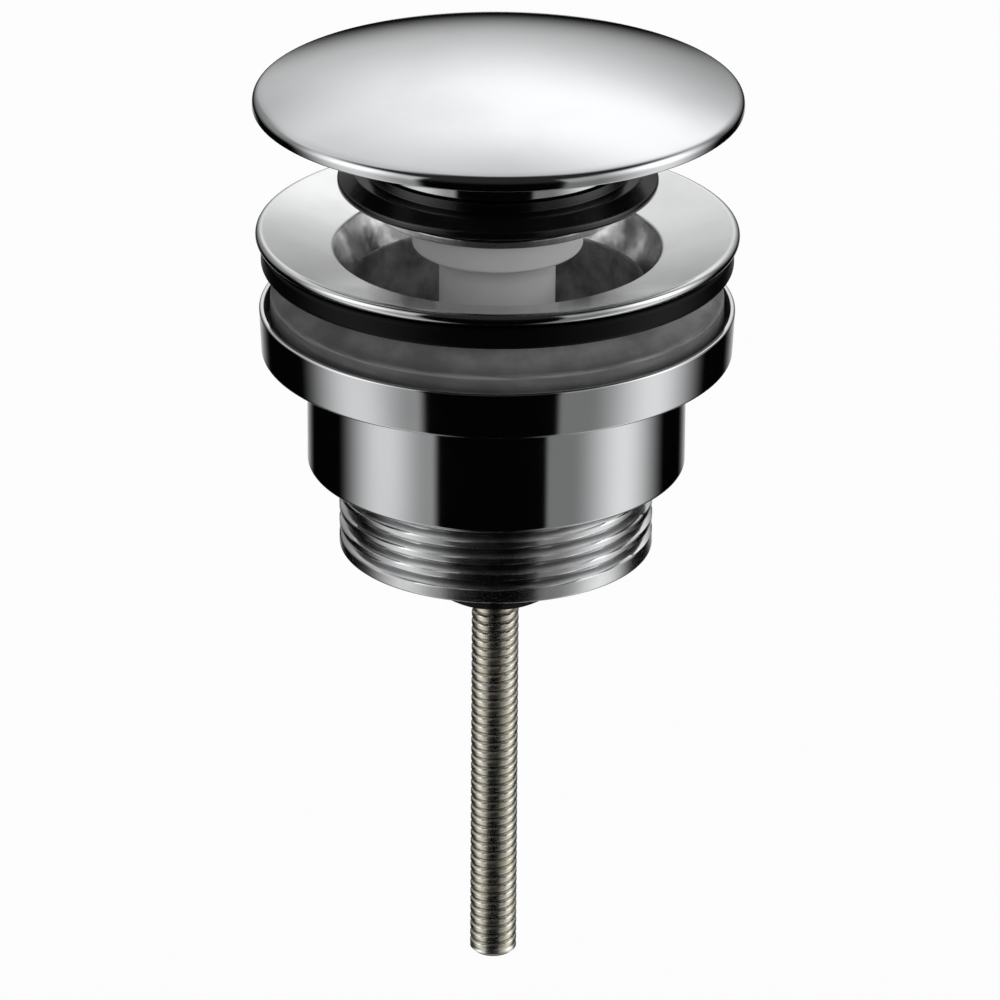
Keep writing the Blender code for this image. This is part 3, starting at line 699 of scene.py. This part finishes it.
def make_cap(chrome):
    radius, bottom, top = outer("cap"), low("cap"), high("cap")
    edge_radius = radius - CAP_EDGE_DRAFT
    edge_height = bottom + CAP_EDGE
    rise = top - edge_height
    sphere = (edge_radius ** 2 + rise ** 2) / (2 * rise)
    sweep = math.asin(edge_radius / sphere)
    dome = []
    for step in range(DOME_STEPS + 1):
        angle = sweep * step / DOME_STEPS
        dome.append((sphere * math.sin(angle), top - sphere * (1 - math.cos(angle))))
    face_radius = radius - CAP_RIM_FACE
    cap = lathe("mushroom_cap", dome + [
        (radius, edge_height - CAP_EDGE_FALL, CAP_ROUND),
        (radius, bottom, CAP_FOOT_ROUND),
        (face_radius, bottom, SMALL_ROUND),
        (face_radius, bottom + CAP_RELIEF, SMALL_ROUND),
        (CAP_BOSS_RADIUS, bottom + CAP_RELIEF, SMALL_ROUND),
        (CAP_BOSS_RADIUS, bottom, SMALL_ROUND),
        (STUD_HOLE, bottom),
        (STUD_HOLE, bottom + CAP_HOLE_DEPTH),
        (0, bottom + CAP_HOLE_DEPTH),
    ])
    mount(cap, "plug", "cap", "chrome", chrome)


def make_plug(chrome, dish, seal_rubber, pad_rubber, plastic):
    bottom, top = low("plug_neck"), high("plug_neck")
    shoulder = top - PLUG_NECK_HEIGHT
    seat = bottom + PLUG_SEAT_HEIGHT
    neck_radius = outer("plug_neck")
    neck = lathe("chrome_neck", [
        (PLUG_CAVITY, bottom),
        (PLUG_SPIGOT_RADIUS, bottom, SMALL_ROUND),
        (PLUG_SPIGOT_RADIUS, seat),
        (PLUG_SEAT_RADIUS, seat, SMALL_ROUND),
        (PLUG_SEAT_RADIUS, shoulder),
        (neck_radius, shoulder, SMALL_ROUND),
        (neck_radius, top, SMALL_ROUND * 2),
        (STUD_HOLE, top),
        (STUD_HOLE, top - PLUG_CEILING),
        (PLUG_CAVITY, top - PLUG_CEILING),
    ])
    mount(neck, "plug", "plug_neck", "chrome", chrome)

    bottom, top = low("plug_seal"), high("plug_seal")
    radius = outer("plug_seal")
    seal = lathe("rubber_seal", [
        (SEAL_BORE, bottom),
        (SEAL_FOOT_RADIUS, bottom, SMALL_ROUND),
        (radius, bottom + SEAL_EDGE_RISE, SEAL_EDGE_ROUND),
        (radius, bottom + SEAL_EDGE_RISE + SEAL_SIDE, SEAL_EDGE_ROUND),
        (SEAL_SHELF_RADIUS, top - SEAL_SHELF_DROP, SEAL_SHELF_ROUND),
        (neck_radius + SEAL_LIP * 1.5, top - SEAL_SHELF_DROP + SEAL_SHELF_TILT, SMALL_ROUND),
        (neck_radius + SEAL_LIP, top, SMALL_ROUND / 2),
        (SEAL_BORE, top),
    ])
    mount(seal, "plug", "plug_seal", "black_rubber", seal_rubber)

    bottom, top = low("seal_retainer"), high("seal_retainer")
    radius = outer("seal_retainer")
    retainer = lathe("seal_ring", [
        (RETAINER_BORE, bottom),
        (radius, bottom, SMALL_ROUND),
        (radius, top, SMALL_ROUND),
        (RETAINER_BORE, top),
    ], RETAINER_FLUTES * 8)
    for vertex in retainer.data.vertices:
        x, y, z = vertex.co
        if math.hypot(x, y) > radius - SMALL_ROUND * 1.1:
            wave = 0.5 + 0.5 * math.cos(math.atan2(y, x) * RETAINER_FLUTES)
            share = 1 - RETAINER_FLUTE_DEPTH / radius * wave ** 4
            vertex.co = (x * share, y * share, z)
    mount(retainer, "plug", "seal_retainer", "chrome", dish)

    bottom, top = low("collar"), high("collar")
    radius = outer("collar")
    sleeve = lathe("white_collar", [
        (COLLAR_BORE, bottom, SMALL_ROUND),
        (radius, bottom, COLLAR_ROUND),
        (radius, top, SMALL_ROUND),
        (STUD_HOLE, top),
        (STUD_HOLE, top - COLLAR_PLATE),
        (COLLAR_BORE, top - COLLAR_PLATE),
    ])
    mount(sleeve, "plug", "collar", "white_plastic", plastic)

    pad = lathe("rubber_pad", [
        (PAD_BORE, low("cap_pad")),
        (outer("cap_pad"), low("cap_pad"), SMALL_ROUND * 2),
        (outer("cap_pad"), high("cap_pad"), SMALL_ROUND * 2),
        (PAD_BORE, high("cap_pad")),
    ])
    mount(pad, "plug", "cap_pad", "black_rubber", pad_rubber)


def make_cartridge(plastic):
    bottom, top = low("cartridge_barrel"), high("cartridge_barrel")
    radius = outer("cartridge_barrel")
    shelf = bottom + BARREL_SHELF
    barrel = lathe("white_barrel", [
        (BARREL_FOOT_BORE, bottom),
        (radius, bottom, SMALL_ROUND),
        (radius, top, SMALL_ROUND * 2),
        (BARREL_BORE, top, SMALL_ROUND),
        (BARREL_BORE, shelf),
        (BARREL_FOOT_BORE, shelf),
    ])
    mount(barrel, "waste", "cartridge_barrel", "white_plastic", plastic)


def spring_rise(turn, height):
    """Height of the wire's middle after so many turns: the first and last turn lie closed."""
    closed_pitch = SPRING_WIRE + SPRING_END_GAP
    open_pitch = (height - SPRING_WIRE - 2 * closed_pitch) / (SPRING_TURNS - 2)
    closed = min(turn, 1) + max(turn - SPRING_TURNS + 1, 0)
    return SPRING_WIRE / 2 + closed * closed_pitch + (turn - closed) * open_pitch


def make_spring(steel):
    bottom, height = low("return_spring"), high("return_spring") - low("return_spring")
    coil = outer("return_spring") - SPRING_WIRE / 2
    built = bmesh.new()
    rings = []
    for step in range(SPRING_TURNS * SPRING_STEPS + 1):
        turn = step / SPRING_STEPS
        around = Matrix.Rotation(math.tau * turn, 3, "Z")
        ring = []
        for side in range(SPRING_SIDES):
            angle = math.tau * side / SPRING_SIDES
            reach = coil + SPRING_WIRE / 2 * math.cos(angle)
            rise = spring_rise(turn, height) + SPRING_WIRE / 2 * math.sin(angle)
            ring.append(built.verts.new(around @ Vector((reach, 0, bottom + rise))))
        rings.append(ring)
    for here, after in zip(rings, rings[1:]):
        for side in range(SPRING_SIDES):
            built.faces.new((here[side - 1], here[side], after[side], after[side - 1]))
    for end in (rings[0], rings[-1]):
        built.faces.new(end)
    spring = mount(add_piece("coil_spring", built), "waste", "return_spring", "nickel_steel",
                   steel)
    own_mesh(spring)


def flange_underside(radius):
    rim = low("flange") + FLANGE_RIM_HEIGHT
    return rim - FLANGE_PLATE - (outer("flange") - radius) * DISH_SLOPE


def make_flange(chrome, dish, cast, throat):
    bottom, radius = low("flange"), outer("flange")
    top = bottom + FLANGE_RIM_HEIGHT
    throat_top = top - (radius - THROAT_RADIUS) * DISH_SLOPE
    throat_bottom = throat_top - THROAT_DEPTH
    flange = lathe("chrome_flange", [
        (BORE_RADIUS, bottom, SMALL_ROUND),
        (NECK_RADIUS, bottom, SMALL_ROUND * 2),
        (NECK_RADIUS, flange_underside(NECK_RADIUS), SMALL_ROUND),
        (radius, flange_underside(radius), FLANGE_ROUND),
        (radius, top, FLANGE_ROUND),
        (THROAT_RADIUS, throat_top, THROAT_ROUND),
        (BORE_RADIUS, throat_bottom, THROAT_FOOT_ROUND),
    ])
    cross(flange, bottom, CROSS_HEIGHT, CROSS_HUB_RADIUS, (BORE_RADIUS + NECK_RADIUS) / 2,
          CARTRIDGE_HOLE)
    mount(flange, "waste", "flange", "chrome", chrome, dish, cast, throat)
    inside = BORE_RADIUS + FINISH_MARGIN
    for polygon in flange.data.polygons:
        x, y, z = polygon.center
        reach = math.hypot(x, y)
        dish_height = top - (radius - reach) * DISH_SLOPE
        # Bore faces get the cast finish, darkened partly with painted shade
        if reach < inside:
            polygon.material_index = 2
        elif reach > THROAT_RADIUS and z > dish_height - DISH_SKIN:
            polygon.material_index = 1
        # The throat gets the throat finish: its dark tint is painted shade, its bright patches
        # painted reflections
        elif reach < THROAT_RADIUS and z > throat_bottom - THROAT_FOOT_ROUND:
            polygon.material_index = 3


def make_gasket(rubber):
    bottom = low("flange_gasket")
    radius = outer("flange_gasket")
    gasket = lathe("black_gasket", [
        (GASKET_BORE, bottom),
        (radius, bottom, GASKET_ROUND),
        (radius, flange_underside(radius) - GASKET_GAP, GASKET_ROUND),
        (GASKET_BORE, flange_underside(GASKET_BORE) - GASKET_GAP),
    ])
    mount(gasket, "waste", "flange_gasket", "black_rubber", rubber)


def make_washers(rubber, plastic):
    bottom, top = low("sealing_washer"), high("sealing_washer")
    radius = outer("sealing_washer")
    shoulder = bottom + WASHER_SHOULDER
    washer = lathe("grey_washer", [
        (WASHER_BORE, bottom),
        (radius, bottom, SMALL_ROUND),
        (radius, shoulder, WASHER_ROUND),
        (WASHER_BORE + WASHER_LAND, top, WASHER_ROUND),
        (WASHER_BORE, top, SMALL_ROUND),
    ])
    mount(washer, "tail", "sealing_washer", "grey_rubber", rubber)

    ring = lathe("slip_ring", [
        (WASHER_BORE, low("friction_washer")),
        (outer("friction_washer"), low("friction_washer"), SMALL_ROUND),
        (outer("friction_washer"), high("friction_washer"), SMALL_ROUND),
        (WASHER_BORE, high("friction_washer")),
    ])
    mount(ring, "tail", "friction_washer", "white_plastic", plastic)


def make_tail(chrome, satin, cast):
    bottom, top = low("tail_body"), high("tail_body")
    radius = outer("tail_body")
    barrel = bottom + TAIL_LENGTH
    cup = top - CUP_HEIGHT
    thread_low, thread_high = bottom + TAIL_BAND, barrel - TAIL_RELIEF
    rows = round((thread_high - thread_low) / TAIL_PITCH * TAIL_ROWS_PER_PITCH)
    tail = lathe("chrome_tail", [
        (TAIL_BORE, bottom, SMALL_ROUND),
        (TAIL_THREAD_RADIUS, bottom, SMALL_ROUND * 2),
        *wall(TAIL_THREAD_RADIUS, thread_low, thread_high, rows),
        (TAIL_THREAD_RADIUS, barrel),
        (TAIL_BARREL_RADIUS, barrel, SMALL_ROUND * 3),
        (TAIL_BARREL_RADIUS, cup),
        (radius - CUP_TAPER, cup, CUP_FOOT_ROUND),
        (radius, top, CUP_RIM_ROUND),
        (CUP_BORE, top, CUP_RIM_ROUND / 2),
        (CUP_BORE, cup + CUP_FLOOR),
        (WASHER_BORE, cup + CUP_FLOOR),
        (WASHER_BORE, barrel + TAIL_SHOULDER),
        (TAIL_BORE, barrel + TAIL_SHOULDER, SMALL_ROUND),
    ])
    hub_bottom = bottom + TAIL_HUB_RECESS
    cross(tail, hub_bottom, TAIL_HUB_HEIGHT, TAIL_HUB_RADIUS,
          (TAIL_BORE + TAIL_THREAD_RADIUS) / 2, ROD_HOLE)
    cut_thread(tail.data, TAIL_THREAD_RADIUS, TAIL_PITCH, TAIL_THREAD_DEPTH, TAIL_CREST,
               thread_low, thread_high, TAIL_RUNOUT)
    shade(tail.data)
    mount(tail, "tail", "tail_body", "chrome", chrome, satin, cast)
    inside = TAIL_BORE + FINISH_MARGIN
    cup_inside = CUP_BORE + FINISH_MARGIN
    for polygon in tail.data.polygons:
        x, y, z = polygon.center
        reach = math.hypot(x, y)
        # The bore and the cup's inner wall get the cast finish, darkened partly with painted shade
        if reach < inside or (reach < cup_inside and z > cup and z < top - CUP_RIM_ROUND):
            polygon.material_index = 2
        elif z < barrel - FINISH_MARGIN:
            polygon.material_index = 1


def make_rod(steel):
    bottom, top = low("through_rod"), high("through_rod")
    radius = outer("through_rod")
    thread_low, thread_high = bottom + ROD_END_CHAMFER, top
    rows = round((thread_high - thread_low) / ROD_PITCH * ROD_ROWS_PER_PITCH)
    rod = lathe("threaded_rod", [
        (0, bottom),
        (radius - ROD_END_CHAMFER, bottom, SMALL_ROUND),
        *wall(radius, thread_low, thread_high, rows),
        (0, top),
    ], ROD_FACETS)
    cut_thread(rod.data, radius, ROD_PITCH, ROD_THREAD_DEPTH, ROD_CREST, thread_low,
               thread_high, ROD_RUNOUT)
    shade(rod.data)
    mount(rod, "waste", "through_rod", "nickel_steel", steel)


def make_clamp(black, steel):
    nut = hex_nut("black_nut", "clamp_nut", NUT_FLATS, NUT_FACE_RADIUS, ROD_HOLE)
    mount(nut, "nut", "clamp_nut", "black_steel", black)
    washer = lathe("black_washer", [
        (ROD_HOLE, low("clamp_washer")),
        (outer("clamp_washer"), low("clamp_washer"), SMALL_ROUND),
        (outer("clamp_washer"), high("clamp_washer"), SMALL_ROUND),
        (ROD_HOLE, high("clamp_washer")),
    ])
    mount(washer, "tail", "clamp_washer", "black_steel", black)
    lock = hex_nut("thin_nut", "rod_lock_nut", LOCK_NUT_FLATS, LOCK_NUT_FACE_RADIUS, ROD_HOLE)
    mount(lock, "waste", "rod_lock_nut", "nickel_steel", steel)


def make_camera():
    data = bpy.data.cameras.new("camera")
    data.sensor_width = SENSOR_WIDTH
    data.lens = FOCAL_LENGTH
    data.clip_start = 0.01
    data.clip_end = 50
    camera = bpy.data.objects.new("camera", data)
    bpy.context.scene.collection.objects.link(camera)
    back = Vector((0, -math.cos(VIEW_ELEVATION), math.sin(VIEW_ELEVATION)))
    aim = Vector((VIEW_SIDE_STEP, 0, VIEW_CENTRE_HEIGHT))
    camera.location = aim + back * VIEW_DISTANCE
    tilt = Matrix.Rotation(math.pi / 2 - VIEW_ELEVATION, 3, "X")
    camera.rotation_euler = (tilt @ Matrix.Rotation(VIEW_ROLL, 3, "Z")).to_euler()
    bpy.context.scene.camera = camera


def studio_light(tree):
    """What the chrome mirrors: a dark front, a light wall and box on each side, a soft box
    above the back, and the white ground behind. All angles are in degrees, right and left
    from the front, behind from the back, and rise from the horizon."""
    place = add_node(tree, "ShaderNodeTexCoord").outputs["Generated"]
    split = add_node(tree, "ShaderNodeSeparateXYZ")
    tree.links.new(place, split.inputs[0])
    x, y, z = split.outputs
    right = calc(tree, "DEGREES", calc(tree, "ARCTAN2", x, calc(tree, "MULTIPLY", y, -1.0)))
    left = calc(tree, "MULTIPLY", right, -1.0)
    side = calc(tree, "ABSOLUTE", right)
    behind = calc(tree, "DEGREES", calc(tree, "ARCTAN2", x, y))
    rise = calc(tree, "DEGREES", calc(tree, "ARCSINE", z))

    side_span = product(tree, ramp(tree, rise, -82.0, -62.0), ramp(tree, rise, 52.0, 26.0),
                        ramp(tree, rise, -18.0, 16.0, 1.0, SIDE_TOP_GAIN))
    right_wall = product(tree, RIGHT_WALL, ramp(tree, right, 29.0, 33.0))
    right_box = product(tree, RIGHT_BOX, ramp(tree, right, 46.0, 84.0))
    right_light = product(tree, sum_of(tree, right_wall, right_box), ramp(tree, right, 124.0, 84.0))
    left_wall = product(tree, LEFT_WALL, ramp(tree, left, 34.0, 40.0))
    left_box = product(tree, LEFT_BOX, ramp(tree, left, 42.0, 70.0))
    left_light = product(tree, sum_of(tree, left_wall, left_box), ramp(tree, left, 112.0, 74.0))
    sides = product(tree, side_span, sum_of(tree, right_light, left_light))

    back_span = product(tree, ramp(tree, behind, 80.0, 35.0), ramp(tree, behind, -100.0, -60.0),
                        ramp(tree, rise, 80.0, 62.0))
    spread = product(tree, ramp(tree, behind, -32.0, 6.0, 0.1, 1.0),
                     ramp(tree, behind, 50.0, 10.0, 0.7, 1.0))
    box = product(tree, BACK_BOX, spread, ramp(tree, rise, 6.0, 36.0),
                  ramp(tree, rise, 64.0, 44.0))
    low_share = product(tree, ramp(tree, behind, -28.0, -8.0, 0.4, 0.95),
                        ramp(tree, behind, 20.0, -2.0, 0.48, 1.0))
    shelf = product(tree, BACK_SHELF, ramp(tree, rise, 22.0, 38.0, low_share, 1.0),
                    ramp(tree, rise, -10.0, 12.0))
    back = product(tree, back_span, sum_of(tree, box, shelf))
    ground = product(tree, GROUND, ramp(tree, side, 147.0, 184.0), ramp(tree, rise, -13.0, -17.0),
                     ramp(tree, rise, -75.0, -45.0))
    front_top = product(tree, FRONT_TOP, ramp(tree, rise, 0.0, 40.0))
    return sum_of(tree, DARKEST, sides, back, ground, front_top)


def soft_light(tree):
    """Plain light for matt surfaces, a little stronger from the right and from behind."""
    place = add_node(tree, "ShaderNodeTexCoord").outputs["Generated"]
    split = add_node(tree, "ShaderNodeSeparateXYZ")
    tree.links.new(place, split.inputs[0])
    x, y, z = split.outputs
    return sum_of(tree, product(tree, x, SOFT_RIGHT), product(tree, y, SOFT_BACK), 1.0)


def make_world():
    world = bpy.data.worlds.new("studio")
    bpy.context.scene.world = world
    world.use_nodes = True
    world.cycles.sampling_method = "NONE"
    tree = world.node_tree
    tree.nodes.clear()
    ray = add_node(tree, "ShaderNodeLightPath")
    studio = studio_light(tree)
    light = add_node(tree, "ShaderNodeMix", data_type="FLOAT")
    feed(tree, light.inputs[0], ray.outputs["Is Glossy Ray"])
    feed(tree, light.inputs[2], soft_light(tree))
    feed(tree, light.inputs[3], studio)
    shown = add_node(tree, "ShaderNodeMix", data_type="FLOAT")
    feed(tree, shown.inputs[0], ray.outputs["Is Camera Ray"])
    feed(tree, shown.inputs[2], light.outputs[0])
    feed(tree, shown.inputs[3], 1.0)
    background = add_node(tree, "ShaderNodeBackground")
    background.inputs["Color"].default_value = (1.0, 1.0, 1.0, 1.0)
    tree.links.new(shown.outputs[0], background.inputs["Strength"])
    out = add_node(tree, "ShaderNodeOutputWorld")
    tree.links.new(background.outputs[0], out.inputs["Surface"])


def make_floor():
    half = FLOOR_SIZE / 2
    corners = [(-half, -half), (half, -half), (half, half), (-half, half)]
    mesh = bpy.data.meshes.new("floor")
    mesh.from_pydata([(*corner, FLOOR_HEIGHT) for corner in corners], [], [(0, 1, 2, 3)])
    floor = bpy.data.objects.new("floor", mesh)
    bpy.context.scene.collection.objects.link(floor)
    made = bpy.data.materials.new("pale_floor")
    made.use_nodes = True
    tree = made.node_tree
    tree.nodes.remove(tree.nodes["Principled BSDF"])
    paint = add_node(tree, "ShaderNodeBsdfDiffuse")
    paint.inputs["Color"].default_value = (*FLOOR_COLOUR, 1.0)
    clear = add_node(tree, "ShaderNodeBsdfTransparent")
    side = add_node(tree, "ShaderNodeNewGeometry").outputs["Backfacing"]
    mixed = add_node(tree, "ShaderNodeMixShader")
    tree.links.new(side, mixed.inputs[0])
    tree.links.new(paint.outputs[0], mixed.inputs[1])
    tree.links.new(clear.outputs[0], mixed.inputs[2])
    tree.links.new(mixed.outputs[0], tree.nodes["Material Output"].inputs["Surface"])
    floor.data.materials.append(made)
    floor.visible_glossy = False


def main():
    bpy.context.scene.view_settings.view_transform = "Standard"
    chrome, dish = polished_chrome(), dish_chrome()
    satin, cast, throat = satin_chrome(), cast_chrome(), throat_chrome()
    rubber = black_rubber("black_rubber", 0.16, 0.26)
    shiny_rubber = black_rubber("shiny_rubber", 0.8, 0.16)
    grey, plastic = grey_rubber(), white_plastic()
    nickel, brass, black = nickel_steel(), turned_brass(), black_steel()

    make_cap(chrome)
    make_plug(chrome, dish, shiny_rubber, rubber, plastic)
    make_cartridge(plastic)
    make_spring(nickel)
    make_flange(chrome, dish, cast, throat)
    make_gasket(rubber)
    make_washers(grey, plastic)
    make_tail(chrome, satin, cast)
    make_rod(nickel)
    make_clamp(black, nickel)
    for node in ("guide_bush", "plunger", "index_ring"):
        dress(node, plastic)
    for node in ("index_pin_1", "index_pin_2", "index_pin_3"):
        dress(node, nickel)
    for node in ("cartridge_base", "cap_stud"):
        dress(node, brass)

    make_camera()
    make_world()
    make_floor()


main()
